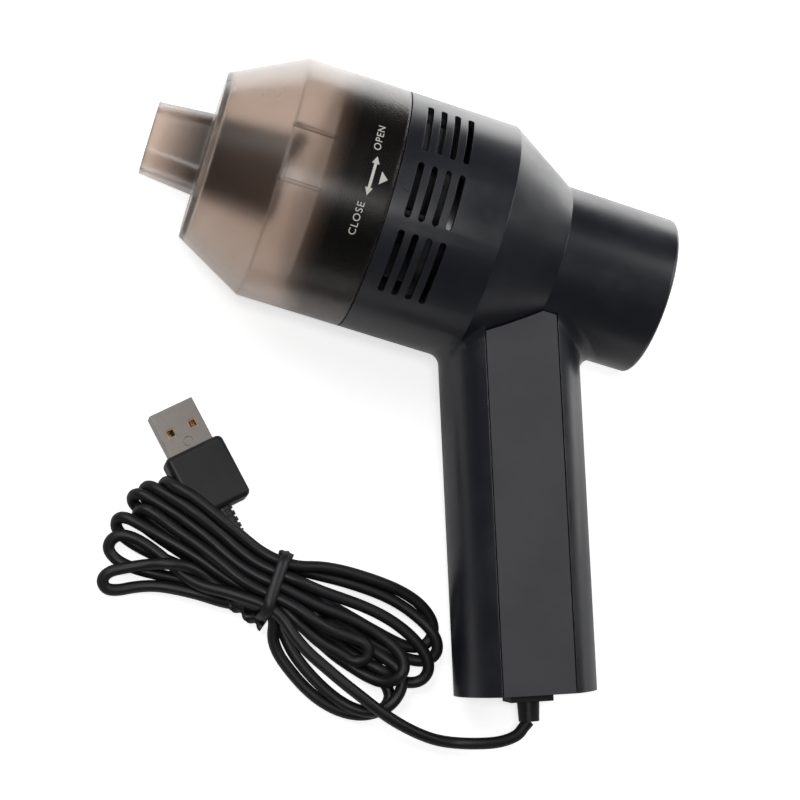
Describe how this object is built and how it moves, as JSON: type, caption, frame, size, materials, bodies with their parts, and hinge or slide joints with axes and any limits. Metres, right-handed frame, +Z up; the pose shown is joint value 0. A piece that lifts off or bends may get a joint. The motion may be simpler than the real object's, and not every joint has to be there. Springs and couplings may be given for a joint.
{
  "type": "desktop vacuum cleaner",
  "caption": "Small pistol-shaped desktop vacuum with a twist-off smoked dust cup, raked handle, rocker switch and tied USB lead, lying on its side.",
  "frame": {"origin": "on the floor under the middle of the tool without its lead", "axes": "+X along the barrel towards the tail, +Y away from the handle, +Z up; the tool lies on its right side, rolled by 8.7 degrees about X"},
  "size_m": [0.1464, 0.1539, 0.062],
  "materials": {
    "smoke": "smoked translucent",
    "inlet_plastic": "satin",
    "filter_plastic": "matte",
    "filter_cloth": "felted",
    "seal_rubber": "matte",
    "housing_black": "satin",
    "collar_black": "satin",
    "fan_plastic": "satin",
    "grip_grey": "fine matte",
    "switch_black": "satin",
    "cord_black": "soft satin",
    "grip_black": "matte",
    "wire_red": "satin",
    "steel": "plain",
    "plug_steel": "stamped",
    "core_steel": "laminated",
    "magnet": "matte",
    "carbon": "matte",
    "bronze": "plain",
    "copper": "enamelled wire",
    "contact_brass": "plated"
  },
  "bodies": {
    "tool": {"cord_gland": "cord_black", "cord_hank": "cord_black", "cord_lead": "cord_black", "cord_tail": "cord_black", "cord_tie": "cord_black", "fan_cover": "collar_black", "filter_cloth": "filter_cloth", "filter_frame": "filter_plastic", "filter_seal": "seal_rubber", "front_bush": "bronze", "front_collar": "collar_black", "grip_panel_left": "grip_grey", "grip_panel_right": "grip_grey", "housing_left": "housing_black", "housing_right": "housing_black", "housing_screws": "steel", "inner_lead": "cord_black", "lead_crimp": "steel", "motor_brushes": "carbon", "motor_can": "steel", "motor_damper": "seal_rubber", "motor_end_bell": "switch_black", "motor_magnets": "magnet", "motor_plate": "steel", "motor_screws": "steel", "motor_tabs": "contact_brass", "rear_bush": "bronze", "supply_wire_black": "cord_black", "supply_wire_red": "wire_red", "switch_case": "switch_black", "switch_tabs": "contact_brass", "switch_wire": "wire_red", "tail_cap": "housing_black", "usb_contacts": "contact_brass", "usb_grip": "grip_black", "usb_shell": "plug_steel", "usb_tongue": "switch_black"},
    "cup": {"dust_cup": "smoke", "inlet_duct": "inlet_plastic", "flap_pin": "steel"},
    "flap": {"inlet_flap": "seal_rubber"},
    "rotor": {"fan_wheel": "fan_plastic", "motor_shaft": "steel", "armature_core": "core_steel", "armature_coils": "copper", "commutator": "contact_brass"},
    "rocker": {"switch_rocker": "switch_black"}
  },
  "joints": [
    {"name": "cup_twist", "type": "hinge", "parent": "tool", "child": "cup", "pos_m": [-0.01433, 0.0411, 0.031], "axis": [-1, 0, 0], "range_deg": [0, 25]},
    {"name": "inlet_flap", "type": "hinge", "parent": "cup", "child": "flap", "pos_m": [-0.03783, 0.0499, 0.03235], "axis": [0, -0.1515, 0.9885], "range_deg": [0, 20], "stiffness_Nm_per_rad": 0.0002},
    {"name": "rotor_spin", "type": "hinge", "parent": "tool", "child": "rotor", "pos_m": [-0.01433, 0.0411, 0.031], "axis": [1, 0, 0], "continuous": true},
    {"name": "switch_rocker", "type": "hinge", "parent": "tool", "child": "rocker", "pos_m": [0.05957, 0.0411, 0.031], "axis": [0, -0.1515, 0.9885], "range_deg": [0, 16]}
  ]
}
